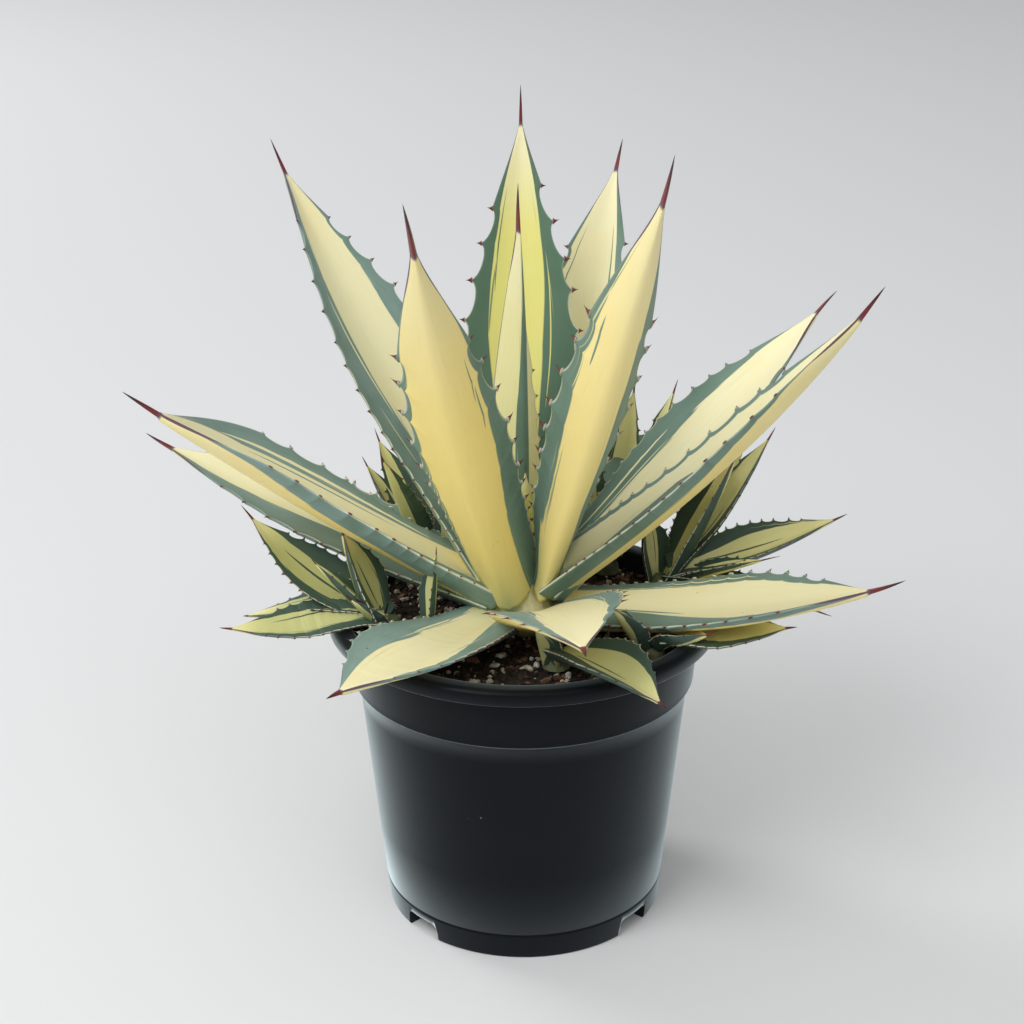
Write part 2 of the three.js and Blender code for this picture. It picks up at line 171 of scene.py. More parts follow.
# lines are thin stripes that swap yellow and green: face, then place along and across at each end,
# then half-width. gold is how golden the outer face is, lime how lime the yellow is, bloom how
# much blue-grey wax lies on the green, specks how spotted the inner face is. tooth and gap are the
# teeth's length and spacing in millimetres, last is where they end, tip is the width of the
# blade's end against its widest, pinch how much of each half is left right at the base, and bare
# the margin without teeth: -1 the left-hand one, 1 the right-hand one, 0 neither.
COMMON = dict(inner=PLAIN, outer=PLAIN, lines=(), gold=0.8, lime=0.0, bloom=0.6, specks=0.2,
              tooth=3.4, gap=20, last=0.88, tip=0.04, pinch=(1.0, 1.0), bare=0)
LOOKS = {
    "centre_spear": dict(outer=(NO_GREEN, (-0.5, -0.45, -0.35, -0.12, 0.1)), gold=0.0, lime=0.3,
                         bloom=0.4, tooth=4.6, gap=21, last=0.74, tip=0.11, bare=-1),
    "inner_leaf": dict(outer=((0.5, 0.6, 0.7, 0.8, 0.9), NO_GREEN), gold=0.0, lime=0.25,
                       bloom=0.3, tooth=3.0, gap=16, last=0.8),
    "heart_bud": dict(outer=(NO_GREEN, NO_GREEN), gold=0.0, lime=0.9, bloom=0.3, tooth=2.8, gap=9,
                      pinch=(0.5, 0.5)),
    "front_left_leaf": dict(outer=((0.8, 0.76, 0.84, 0.95, 1.1), (0.62, 0.57, 0.72, 0.93, 1.12)),
                            lines=(("outer", 0.58, 0.60, 0.70, 0.74, 0.018),
                                   ("outer", 0.50, 0.60, 0.62, 0.70, 0.02)),
                            gold=1.0, bloom=0.6, tooth=5.6, gap=26, last=0.74, tip=0.062),
    "front_right_leaf": dict(outer=((0.9, 0.6, 0.68, 0.86, 1.08), (0.7, 0.42, 0.46, 0.66, 1.1)),
                             lines=(("outer", 0.60, -0.58, 0.72, -0.70, 0.03),
                                    ("outer", 0.52, -0.74, 0.66, -0.80, 0.02)),
                             gold=0.75, bloom=0.6, tooth=5.8, gap=26, last=0.74, tip=0.064,
                             pinch=(0.25, 1.0)),
    "back_centre_leaf": dict(inner=((0.3, 0.3, 0.34, 0.52, 0.82), (0.35, 0.4, 0.55, 0.68, 0.95)),
                             lines=(("inner", 0.62, 0.5, 0.86, 0.62, 0.02),
                                    ("inner", 0.35, -0.42, 0.72, -0.58, 0.015)),
                             gold=0.6, lime=0.9, bloom=0.12, specks=0.0, tooth=4.2, gap=23, tip=0.03),
    "back_right_leaf": dict(inner=((0.5, 0.5, 0.55, 0.6, 0.75), (0.6, 0.65, 0.72, 0.84, 1.0)),
                            lines=(("inner", 0.60, -0.40, 0.86, -0.50, 0.025),
                                   ("inner", 0.55, 0.62, 0.85, 0.70, 0.02)),
                            gold=0.7, bloom=0.6, specks=0.1, tooth=3.6, gap=22, last=0.84),
    "upper_left_leaf": dict(inner=((0.5, 0.5, 0.53, 0.68, 0.9), (0.05, 0.15, 0.34, 0.52, 0.7)),
                            outer=((0.7, 0.7, 0.75, 0.8, 1.0), (0.9, 0.85, 0.8, 0.6, 0.6)),
                            lines=(("inner", 0.42, 0.34, 0.72, 0.6, 0.025),
                                   ("inner", 0.3, 0.5, 0.45, 0.62, 0.015)),
                            bloom=1.0, tooth=2.8, gap=19, last=0.9, tip=0.03),
    "upper_right_leaf": dict(inner=((0.6, 0.6, 0.7, 0.85, 1.1), (0.5, 0.42, 0.44, 0.62, 0.97)),
                             lines=(("inner", 0.12, 0.66, 0.52, 0.66, 0.028),
                                    ("inner", 0.2, 0.52, 0.5, 0.5, 0.015)),
                             gold=0.5, bloom=0.6, specks=0.1, tooth=2.6, gap=15, last=0.86, tip=0.03),
    "right_leaf": dict(inner=((0.8, 0.8, 0.8, 0.85, 1.1), (0.84, 0.82, 0.82, 0.8, 0.95)),
                       outer=((0.55, 0.66, 0.72, 0.9, 1.12), (0.8, 0.8, 0.8, 0.9, 1.1)),
                       lines=(("inner", 0.55, -0.7, 0.8, -0.78, 0.03),),
                       gold=0.75, bloom=0.8, tooth=3.8, gap=21, last=0.8, tip=0.05),
    "low_left_leaf": dict(inner=((0.75, 0.55, 0.5, 0.5, 0.85), (0.5, 0.62, 0.86, 0.97, 1.1)),
                          outer=((0.6, 0.6, 0.65, 0.8, 1.0), (0.45, 0.55, 0.62, 0.82, 1.05)),
                          lines=(("inner", 0.2, -0.66, 0.82, -0.62, 0.045),
                                 ("inner", 0.3, -0.42, 0.74, -0.40, 0.02)),
                          gold=1.0, bloom=1.1, tooth=3.4, gap=22, last=0.78),
    "rear_left_leaf": dict(),
    "rear_right_leaf": dict(),
    "lower_left_leaf": dict(inner=((0.8, 0.8, 0.85, 0.95, 1.1), (0.1, 0.1, 0.12, 0.28, 0.7)),
                            gold=0.8, bloom=0.9, tooth=3.0, gap=19, last=0.84),
    "low_right_leaf": dict(inner=((0.1, 0.1, 0.42, 0.8, 0.97), (0.75, 0.72, 0.72, 0.74, 0.95)),
                           outer=((0.9, 0.9, 0.85, 0.7, 0.9), (0.8, 0.8, 0.8, 0.8, 0.9)),
                           lines=(("inner", 0.18, -0.02, 0.44, -0.18, 0.03),
                                  ("inner", 0.3, 0.84, 0.6, 0.88, 0.02)),
                           gold=1.0, bloom=0.9, specks=0.5, tooth=3.6, gap=15, last=0.82),
    "rear_leaf": dict(specks=0.4),
    "front_drooping_leaf": dict(inner=((0.85, 0.5, 0.36, 0.5, 0.62), (0.05, 0.4, 0.72, 0.95, 1.1)),
                                lines=(("inner", 0.1, -0.62, 0.45, -0.48, 0.03),),
                                gold=1.0, bloom=1.2, specks=1.0, tooth=3.0, gap=11, last=0.86),
    "front_stub_leaf": dict(inner=((0.28, 0.28, 0.3, 0.55, 0.95), (0.62, 0.62, 0.64, 0.85, 1.1)),
                            outer=((1.2, 1.2, 1.2, 1.2, 1.2), (0.8, 0.8, 0.8, 0.8, 0.9)),
                            gold=1.0, bloom=1.5, specks=0.5, tooth=4.0, gap=14, last=0.86),
}
OFFSET_LIME = dict(left_offset=0.55, left_shoot=0.2, left_rear_offset=0.3, right_rear_offset=0.1,
                   right_offset=0.0, front_right_offset=0.4, front_offset=0.4)
OFFSET_LOOK = dict(gold=0.3, bloom=0.15, specks=0.35, tooth=2.0, gap=8.5, last=0.86)


def lerp(a, b, x):
    return a + (b - a) * x


def smoothstep(low, high, x):
    u = np.clip((x - low) / (high - low), 0, 1)
    return u * u * (3 - 2 * u)


def width_at(along, base, peak):
    """Width along a blade against its widest: broad base, widest near the middle, long taper."""
    near = base + (1 - base) * np.sin(np.clip(along / peak, 0, 1) * np.pi / 2) ** 2
    past = np.clip((along - peak) / (1 - peak), 0, 1)
    far = TIP_WIDTH + (1 - TIP_WIDTH) * (1 - past**1.75) ** 1.25
    return np.where(along < peak, near, far)


class Leaf:
    """One leaf's measures, and its midrib frames at any places along it."""

    def __init__(self, name, at, row, look, seed, is_offset):
        (self.azimuth, self.turn, self.rise, self.end, self.length, self.width, self.base,
         self.peak, self.fold, self.roll, self.out, self.height, self.spine) = row
        self.name, self.at, self.seed, self.is_offset = name, at, seed, is_offset
        self.look = {**COMMON, **look}

    def frames(self, along):
        """Points and length, side and inner-face directions at places along (0 base to 1 tip)."""
        slope = np.radians(self.rise + (self.end - self.rise) * along**CURVE_POWER)
        heading = np.radians(self.azimuth + self.turn * along)
        flat = np.cos(slope)
        length = np.stack([flat * np.cos(heading), flat * np.sin(heading), np.sin(slope)], -1)
        level = np.stack([-np.sin(heading), np.cos(heading), 0 * heading], -1)
        upright = np.cross(length, level)
        roll = math.radians(self.roll)
        side = level * math.cos(roll) + upright * math.sin(roll)
        inner = upright * math.cos(roll) - level * math.sin(roll)
        steps = (length[1:] + length[:-1]) / 2 * np.diff(along)[:, None] * self.length
        start = math.radians(self.azimuth)
        base = np.array([
            self.at[0] + self.out * math.cos(start),
            self.at[1] + self.out * math.sin(start),
            self.height,
        ])
        points = base + np.vstack([np.zeros(3), np.cumsum(steps, axis=0)])
        return points, length, side, inner


def young_look(seed):
    """Colouring of an offset's leaf: each a little different in how far its yellow reaches."""
    rng = np.random.default_rng(500 + seed)
    face = []
    for _ in range(4):
        start, reach = rng.uniform(0.15, 0.4), rng.uniform(0.34, 0.62)
        face.append((start, lerp(start, reach, 0.6), reach, reach + 0.1, rng.uniform(0.85, 1.1)))
    at, drift = rng.uniform(-0.5, 0.5), rng.uniform(-0.15, 0.15)
    stripe = ("inner", 0.2, at, rng.uniform(0.5, 0.85), at + drift, rng.uniform(0.02, 0.05))
    return {**OFFSET_LOOK, "inner": face[:2], "outer": face[2:], "lines": (stripe,)}


def all_leaves():
    leaves = []
    for name, row in MAIN_LEAVES.items():
        leaves.append(Leaf(name, (0, 0), row, LOOKS[name], len(leaves), False))
    for offset, (at, rows) in OFFSETS.items():
        for i, (azimuth, rise, end, length, width, fold, roll, height, spine) in enumerate(rows):
            row = (azimuth, 0, rise, end, length, width, OFFSET_BASE_WIDTH, OFFSET_WIDEST_AT,
                   fold, roll, OFFSET_LEAF_OUT, height, spine)
            seed = len(leaves)
            look = {**young_look(seed), "lime": OFFSET_LIME[offset]}
            leaves.append(Leaf(f"{offset}_leaf_{i + 1}", at, row, look, seed, True))
    return leaves


# ---- Meshes ----


class Shell:
    """Vertices, faces and per-vertex values gathered for one mesh."""

    FIELDS = ("along", "across", "face", "horn", "left", "right", "line1", "wide1", "line2", "wide2")

    def __init__(self):
        self.points, self.faces = [], []
        self.values = {field: [] for field in self.FIELDS}
        self.count = 0

    def add(self, points, faces, **values):
        points = np.asarray(points, float).reshape(-1, 3)
        self.points.append(points)
        self.faces += [tuple(int(i) + self.count for i in face) for face in faces]
        for field in self.FIELDS:
            value = np.broadcast_to(np.asarray(values.get(field, 0.0), float).ravel(), len(points))
            self.values[field].append(value)
        self.count += len(points)

    def build(self, name, material, constants=None):
        """The mesh as an object; constants, given for leaves only, go to every vertex."""
        mesh = bpy.data.meshes.new(name)
        points = np.vstack(self.points) * MM + AXIS
        mesh.from_pydata(points.tolist(), [], self.faces)
        if constants:
            layers = {field: np.concatenate(self.values[field]) for field in self.FIELDS}
            layers.update({field: np.full(self.count, value) for field, value in constants.items()})
            for field, values in layers.items():
                layer = mesh.attributes.new(field, "FLOAT", "POINT")
                layer.data.foreach_set("value", values.astype(np.float32))
        mesh.materials.append(material)
        mesh.shade_smooth()
        piece = bpy.data.objects.new(name, mesh)
        bpy.context.scene.collection.objects.link(piece)
        return piece


def tube_faces(rings, sides):
    """Quads between successive closed rings of vertices, and a cap at each end."""
    faces = []
    for r in range(rings - 1):
        for s in range(sides):
            a, b = r * sides + s, r * sides + (s + 1) % sides
            faces.append((a, b, b + sides, a + sides))
    faces.append(tuple(reversed(range(sides))))
    faces.append(tuple((rings - 1) * sides + s for s in range(sides)))
    return faces


def tooth_places(leaf, sign, rng):
    """Where the teeth sit along one margin: close and small low down, wider apart above."""
    if sign == leaf.look["bare"]:
        return np.array([])
    gap_low = leaf.look["gap"] * 0.4
    places, along = [], 0.09 + rng.uniform(0, 0.02)
    while along < leaf.look["last"]:
        places.append(along)
        gap = lerp(gap_low, leaf.look["gap"], smoothstep(0.1, 0.55, along))
        along += gap * rng.uniform(0.82, 1.18) / leaf.length
    return np.array(places)


def scallop(leaf, places, along):
    """How far the margin pulls in between its teeth, in millimetres: arcs that meet in cusps."""
    marks = np.concatenate([[0.0], places, [1.0]])
    k = np.clip(np.searchsorted(marks, along, side="right") - 1, 0, len(marks) - 2)
    gap = (marks[k + 1] - marks[k]) * leaf.length
    nearest = np.minimum(along - marks[k], marks[k + 1] - along) * leaf.length
    arc = 1 - (1 - nearest / (gap / 2)) ** 2
    cusp = 1 - np.exp(-nearest / (0.09 * gap + 0.4))
    depth = np.minimum(gap * 0.2, 0.062 * leaf.width)
    between = (k > 0) & (k < len(marks) - 2)
    return np.where(between, depth * smoothstep(0.05, 0.25, along) * (0.45 * arc + 0.55 * cusp), 0.0)


def add_tooth(shell, root, out, forward, up, size, hook, along, across):
    """A flat pointed tooth with hollow flanks. hook bends its point along the margin."""
    rings, sides = 7, 6
    angles = np.arange(sides) * 2 * np.pi / sides
    points, horn = [], []
    for r in range(rings):
        u = r / (rings - 1)
        half = size * (0.46 * (1 - u) ** 2.1 + 0.09 * (1 - u)) + 0.02
        centre = root + out * (size * (1.18 * u - 0.18)) + forward * (hook * size * u**1.8)
        points.append(centre + np.outer(np.cos(angles) * half, forward)
                      + np.outer(np.sin(angles) * (half * 0.3 + 0.14 * (1 - u)), up))
        horn += [max(0.0, u - 0.08)] * sides
    shell.add(np.vstack(points), tube_faces(rings, sides), along=along, across=across, face=1.0, horn=horn)


def clear_of_rim(rows):
    """Lifts whole sections of a leaf where it would dip into the pot's rim."""
    radius, height = np.hypot(rows[..., 0], rows[..., 1]), rows[..., 2]
    top = POT_HEIGHT / MM + RIM_CLEARANCE
    over = (radius > COLLAR_RADIUS - WALL - 1) & (radius < RIM_RADIUS + 1) & (height > top - 14)
    lift = np.where(over, np.maximum(top - height, 0), 0).max(axis=1)
    steps = np.arange(len(lift))
    reach = np.exp(-((steps[:, None] - steps[None, :]) / (0.3 * len(lift))) ** 2)
    spread = (lift[None, :] * reach).max(axis=1)
    rows[..., 2] += spread[:, None]
    return rows


def line_values(leaf, along, face):
    """Place across and half-width of a leaf's two stripes at each place along one face."""
    values = {}
    for i in (1, 2):
        at, wide = np.zeros_like(along), np.zeros_like(along)
        if len(leaf.look["lines"]) >= i:
            side, start, start_at, stop, stop_at, half = leaf.look["lines"][i - 1]
            u = np.clip((along - start) / (stop - start), 0, 1)
            at = lerp(start_at, stop_at, u)
            if side == face:
                wide = half * np.sqrt(np.maximum(4 * u * (1 - u), 0))
        values[f"line{i}"], values[f"wide{i}"] = at, wide
    return values


def leaf_shell(leaf):
    rng = np.random.default_rng(1000 + leaf.seed)
    margins = {sign: tooth_places(leaf, sign, rng) for sign in (-1, 1)}
    steps = 110 if not leaf.is_offset else 60
    around = np.array([-0.011, -0.005, 0.0, 0.005, 0.011])
    at_teeth = np.concatenate([(places[:, None] + around).ravel() for places in margins.values()])
    along = np.unique(np.concatenate([np.linspace(0, 1, steps + 1), at_teeth]).round(4))
    keep = np.concatenate([[True], np.diff(along) > 0.0012])
    along = along[keep]
    points, length, side, inner = leaf.frames(along)

    top = np.sin(np.linspace(-1, 1, 25) * np.pi / 2)
    bottom = top[::-2][1:-1]
    across = np.concatenate([top, bottom])
    is_top = np.arange(len(across)) < len(top)
    sides = len(across)
    fold = math.radians(leaf.fold)
    width = width_at(along, leaf.base, leaf.peak)
    width = width + (leaf.look["tip"] - TIP_WIDTH) * smoothstep(0.6, 1.0, along)
    half = leaf.width / 2 * width
    thick = np.minimum(leaf.width * THICKNESS * (1 - THINNING * along), half * 1.6)

    swell = (1 - across**2) ** 0.7
    rim = 0.45 * np.minimum(1, half / 8)
    face = np.where(is_top, 0.25, -0.75)
    skin = face[None, :] * thick[:, None] * swell[None, :]
    skin += np.where(is_top, 1, -1)[None, :] * rim[:, None] * (1 - np.abs(across) ** 12)[None, :]

    pull = np.where(across[None, :] > 0, scallop(leaf, margins[1], along)[:, None],
                    scallop(leaf, margins[-1], along)[:, None])
    edge = smoothstep(0.55, 1.0, np.abs(across))[None, :]
    pinch = np.where(across > 0, leaf.look["pinch"][1], leaf.look["pinch"][0])
    reach = (half[:, None] - pull * edge) * lerp(pinch[None, :], 1.0, smoothstep(0.0, 0.22, along)[:, None])
    vee = (across**2 + KEEL_ROUNDING) ** (FOLD_POWER / 2) - KEEL_ROUNDING ** (FOLD_POWER / 2)
    lift = reach * vee[None, :] * math.sin(fold) + skin

    # Slow waves along the margins
    phase = rng.uniform(0, 2 * np.pi, 4)
    wave = np.sin(along * 9 + phase[0]) * 0.6 + np.sin(along * 17 + phase[1]) * 0.4
    other = np.sin(along * 8 + phase[2]) * 0.6 + np.sin(along * 15 + phase[3]) * 0.4
    sway = np.where(across[None, :] > 0, wave[:, None], other[:, None]) * np.abs(across)[None, :] ** 2
    lift = lift + sway * leaf.width * 0.011 * (np.sin(along * np.pi) ** 0.6)[:, None]

    surface = (points[:, None, :]
               + side[:, None, :] * (reach * across[None, :] * math.cos(fold))[:, :, None]
               + inner[:, None, :] * lift[:, :, None])
    surface = clear_of_rim(surface)

    # Terminal spine: the last ring carries on as a slightly bent needle
    spine_rings = 14
    tip, tip_length = surface[-1].mean(axis=0), length[-1]
    last = surface[-1] - tip
    bend = (inner[-1] * rng.uniform(-0.05, 0.05) + side[-1] * rng.uniform(-0.04, 0.04)) * leaf.spine
    needle = []
    for r in range(1, spine_rings + 1):
        u = r / spine_rings
        shrink = (1 - u) ** 0.85 * (1 + 0.25 * u) + 0.008
        needle.append(tip + tip_length * leaf.spine * u + bend * u * u + last * shrink)
    rows = np.concatenate([surface, np.array(needle)])
    count = len(rows)
    horn = np.concatenate([np.zeros(len(along)), np.arange(1, spine_rings + 1) / spine_rings])
    along_all = np.concatenate([along, np.ones(spine_rings)])

    # Band ends and stripes go with each vertex, by the face it lies on
    ends = {}
    for key, i in (("left", 0), ("right", 1)):
        by_face = [np.interp(along_all, STATIONS, leaf.look[which][i]) for which in ("inner", "outer")]
        ends[key] = np.where(is_top[None, :], by_face[0][:, None], by_face[1][:, None])
    stripes = [line_values(leaf, along_all, which) for which in ("inner", "outer")]
    for key in stripes[0]:
        ends[key] = np.where(is_top[None, :], stripes[0][key][:, None], stripes[1][key][:, None])

    shell = Shell()
    shell.add(
        rows,
        tube_faces(count, sides),
        along=np.repeat(along_all, sides),
        across=np.tile(across, count),
        face=np.tile(np.where(is_top, 1.0, 0.0), count),
        horn=np.repeat(horn, sides),
        **ends,
    )
    for sign, places in margins.items():
        for place in places:
            i = int(np.abs(along - place).argmin())
            column = len(top) - 1 if sign > 0 else 0
            root = surface[i, column]
            out = root - surface[i, column - 3 * sign]
            out /= np.linalg.norm(out)
            up = np.cross(out, length[i])
            up /= np.linalg.norm(up)
            size = leaf.look["tooth"] * rng.uniform(0.8, 1.15) * lerp(0.5, 1.0, smoothstep(0.1, 0.4, place))
            size *= 1 - 0.4 * smoothstep(0.7, 0.9, place)
            hook = rng.uniform(-0.1, 0.4)
            add_tooth(shell, root, out, length[i], up, size, hook, place, sign)
    return shell


# ---- Materials ----


class Graph:
    """Small helper that wires up a material's nodes."""

    def __init__(self, name):
        self.material = bpy.data.materials.new(name)
        self.material.use_nodes = True
        self.tree = self.material.node_tree
        self.tree.nodes.clear()
        self.output = self.tree.nodes.new("ShaderNodeOutputMaterial")
        self.shader = self.tree.nodes.new("ShaderNodeBsdfPrincipled")
        self.tree.links.new(self.shader.outputs["BSDF"], self.output.inputs["Surface"])

    def put(self, socket, value):
        if isinstance(value, bpy.types.NodeSocket):
            self.tree.links.new(value, socket)
        elif isinstance(value, (tuple, list)) and len(value) == 3 and len(socket.default_value) == 4:
            socket.default_value = (*value, 1.0)
        else:
            socket.default_value = value

    def set(self, **values):
        for key, value in values.items():
            self.put(self.shader.inputs[key.replace("_", " ")], value)

    def attribute(self, name):
        node = self.tree.nodes.new("ShaderNodeAttribute")
        node.attribute_name = name
        return node.outputs["Fac"]

    def position(self):
        return self.tree.nodes.new("ShaderNodeTexCoord").outputs["Object"]

    def math(self, operation, a, b=0.0, c=None):
        node = self.tree.nodes.new("ShaderNodeMath")
        node.operation = operation
        self.put(node.inputs[0], a)
        self.put(node.inputs[1], b)
        if c is not None:
            self.put(node.inputs[2], c)
        return node.outputs[0]

    def step(self, value, low, high, to_low=0.0, to_high=1.0):
        node = self.tree.nodes.new("ShaderNodeMapRange")
        node.interpolation_type = "SMOOTHSTEP"
        for socket, item in zip(node.inputs[:5], (value, low, high, to_low, to_high)):
            self.put(socket, item)
        return node.outputs["Result"]

    def mix(self, factor, a, b):
        node = self.tree.nodes.new("ShaderNodeMix")
        node.data_type = "RGBA"
        self.put(node.inputs["Factor"], factor)
        self.put(node.inputs[6], a)
        self.put(node.inputs[7], b)
        return node.outputs[2]

    def blend(self, factor, a, b):
        node = self.tree.nodes.new("ShaderNodeMix")
        self.put(node.inputs["Factor"], factor)
        self.put(node.inputs[2], a)
        self.put(node.inputs[3], b)
        return node.outputs[0]

    def vector(self, x, y, z):
        node = self.tree.nodes.new("ShaderNodeCombineXYZ")
        for socket, item in zip(node.inputs, (x, y, z)):
            self.put(socket, item)
        return node.outputs[0]

    def noise(self, vector, scale=1.0, detail=2.0, roughness=0.5):
        node = self.tree.nodes.new("ShaderNodeTexNoise")
        self.put(node.inputs["Vector"], vector)
        node.inputs["Scale"].default_value = scale
        node.inputs["Detail"].default_value = detail
        node.inputs["Roughness"].default_value = roughness
        return node.outputs["Fac"]

    def voronoi(self, vector, scale=1.0):
        node = self.tree.nodes.new("ShaderNodeTexVoronoi")
        self.put(node.inputs["Vector"], vector)
        node.inputs["Scale"].default_value = scale
        return node.outputs["Distance"]

    def bump(self, height, strength, distance):
        node = self.tree.nodes.new("ShaderNodeBump")
        node.inputs["Strength"].default_value = strength
        node.inputs["Distance"].default_value = distance
        self.put(node.inputs["Height"], height)
        return node.outputs["Normal"]


def leaf_material(name, cream, golden, lime_tint, green, bloom_green, base_tint_and_shade):
    """Yellow band between green margins, drawn from each vertex's place along and across."""
    g = Graph(name)
    along, across, face, horn = (g.attribute(key) for key in ("along", "across", "face", "horn"))
    seed, length, width = (g.attribute(key) for key in ("seed", "length", "width"))
    gold, lime, bloom, specks = (g.attribute(key) for key in ("gold", "lime", "bloom", "specks"))

    run = g.math("MULTIPLY", along, length)  # metres along the blade
    spread = g.math("MULTIPLY", across, width)  # metres across from the midrib
    shift = g.math("MULTIPLY", seed, 3.7)
    half = g.step(across, -0.02, 0.02)
    side_shift = g.math("ADD", shift, g.math("MULTIPLY", half, 11.0))
    from_midrib = g.math("ABSOLUTE", across)

    def along_noise(rate, rate_across, depth, detail):
        place = g.vector(g.math("MULTIPLY", run, rate), g.math("MULTIPLY", spread, rate_across), depth)
        return g.noise(place, detail=detail)

    wander = along_noise(12.0, 0.0, side_shift, 1.0)
    patch = along_noise(9.0, 0.0, g.math("ADD", side_shift, 5.0), 0.0)
    fibre = along_noise(14.0, 330.0, shift, 2.0)
    stripe = along_noise(7.0, 420.0, side_shift, 1.0)

    # How far past the band's end, on whichever half: positive is green
    right_past = g.math("SUBTRACT", across, g.attribute("right"))
    left_past = g.math("SUBTRACT", g.math("MULTIPLY", across, -1.0), g.attribute("left"))
    past = g.math("MAXIMUM", right_past, left_past)
    past = g.math("SUBTRACT", past, g.math("MULTIPLY_ADD", wander, 0.09, -0.045))
    ragged = g.step(patch, 0.5, 0.68, 0.015, 0.26)
    past = g.math("SUBTRACT", past, g.math("MULTIPLY", g.math("SUBTRACT", fibre, 0.5), ragged))
    margin = g.step(past, -0.014, 0.014)
    near = g.math("SUBTRACT", 1.0, g.step(g.math("ABSOLUTE", past), 0.04, 0.2))
    streak = g.math("MULTIPLY", g.step(stripe, 0.67, 0.71), near)
    margin = g.math("ABSOLUTE", g.math("SUBTRACT", margin, g.math("MULTIPLY", streak, 0.8)))
    for i in (1, 2):
        offset = g.math("SUBTRACT", across, g.attribute(f"line{i}"))
        offset = g.math("ADD", offset, g.math("MULTIPLY_ADD", wander, 0.05, -0.025))
        inside = g.math("SUBTRACT", g.attribute(f"wide{i}"), g.math("ABSOLUTE", offset))
        margin = g.math("ABSOLUTE", g.math("SUBTRACT", margin, g.step(inside, -0.002, 0.01)))

    cloud = g.noise(g.position(), 26.0, 3.0)
    grain = along_noise(40.0, 1300.0, shift, 2.0)
    outer = g.math("SUBTRACT", 1.0, face)
    gilding = g.math("MULTIPLY", g.math("MULTIPLY", outer, gold), g.step(along, 1.0, 0.5, 0.45, 1.0))
    yellow = g.mix(gilding, cream, golden)
    yellow = g.mix(g.math("MULTIPLY", lime, g.step(along, 0.98, 0.72)), yellow, lime_tint)
    # Yellow-green towards the base of the band: partly the leaf's own tone, partly painted shade where the
    # leaves crowd at the rosette's heart
    yellow = g.mix(g.step(along, 0.2, 0.0, 0.0, 0.6), yellow, base_tint_and_shade)
    yellow = g.mix(g.step(cloud, 0.4, 0.75, 0.0, 0.22), yellow, golden)
    yellow = g.mix(g.step(grain, 0.5, 0.72, 0.0, 0.12), yellow, base_tint_and_shade)
    yellow = g.mix(g.step(fibre, 0.62, 0.75, 0.0, 0.14), yellow, base_tint_and_shade)
    leafy = g.mix(g.math("MULTIPLY", bloom, g.step(cloud, 0.25, 0.7, 0.5, 1.0)), green, bloom_green)
    leafy = g.mix(g.step(grain, 0.45, 0.7, 0.0, 0.25), leafy, green)
    leafy = g.mix(g.step(from_midrib, 0.55, 0.95, 0.0, 0.25), leafy, green)
    colour = g.mix(margin, yellow, leafy)

    # Pale horny line low on the margins, turning dark and purple towards the tip
    line = g.math("MULTIPLY", g.step(from_midrib, 0.972, 0.99), g.step(along, 0.75, 0.45, 0.2, 0.9))
    colour = g.mix(line, colour, (0.70, 0.71, 0.54))
    edge_wide = g.step(along, 0.80, 1.0, 0.99, 0.88)
    decurrent = g.math("MULTIPLY", g.step(g.math("SUBTRACT", from_midrib, edge_wide), 0.0, 0.04),
                       g.step(along, 0.80, 0.88))
    cuff = g.step(along, 0.99, 1.0)
    colour = g.mix(g.math("MAXIMUM", decurrent, cuff), colour, (0.13, 0.075, 0.105))

    # Scattered brown flecks, mostly on older inner faces
    fleck = g.voronoi(g.vector(g.math("MULTIPLY", run, 130.0), g.math("MULTIPLY", spread, 150.0), shift))
    chosen = g.step(along_noise(60.0, 60.0, side_shift, 2.0), 0.6, 0.66)
    fleck = g.math("MULTIPLY", g.step(fleck, 0.16, 0.07), g.math("MULTIPLY", chosen, specks))
    colour = g.mix(g.math("MULTIPLY", fleck, 0.8), colour, (0.10, 0.05, 0.03))

    # Teeth and spine: dark red horn, nearly black at the point
    horny = g.step(horn, 0.0, 0.08)
    red = g.mix(g.step(horn, 0.1, 0.9), (0.18, 0.020, 0.022), (0.030, 0.007, 0.009))
    colour = g.mix(horny, colour, red)

    rough = g.blend(horny, g.step(cloud, 0.2, 0.8, 0.42, 0.58), 0.35)
    dimple = g.noise(g.position(), 55.0, 1.0)
    fine = g.noise(g.position(), 150.0, 3.0)
    relief = g.math("ADD", g.math("MULTIPLY", grain, 0.35), g.math("MULTIPLY", fine, 0.45))
    relief = g.math("ADD", relief, g.math("MULTIPLY", dimple, 1.4))
    g.set(Base_Color=colour, Roughness=rough, IOR=1.42, Normal=g.bump(relief, 0.25, 0.0007))
    return g.material


def pot_material():
    g = Graph("pot_plastic")
    place = g.position()
    smear = g.noise(place, 9.0, 4.0, 0.6)
    fine = g.noise(place, 420.0, 2.0)
    fleck = g.step(g.voronoi(place, 120.0), 0.07, 0.03)
    rare = g.step(g.noise(place, 34.0, 1.0), 0.70, 0.74)
    dust = g.math("MULTIPLY", fleck, rare)
    scuffed = g.step(smear, 0.45, 0.8, 0.0, 0.5)
    colour = g.mix(scuffed, (0.0015, 0.0024, 0.0040), (0.004, 0.0055, 0.0075))
    colour = g.mix(dust, colour, (0.30, 0.29, 0.27))
    rough = g.math("ADD", g.step(smear, 0.3, 0.75, 0.30, 0.40), g.math("MULTIPLY", dust, 0.4))
    g.set(Base_Color=colour, Roughness=rough, IOR=1.5, Specular_IOR_Level=0.09, Sheen_Weight=1.0,
          Sheen_Roughness=0.34, Sheen_Tint=(0.80, 0.95, 1.0), Normal=g.bump(fine, 0.08, 0.0003))
    return g.material


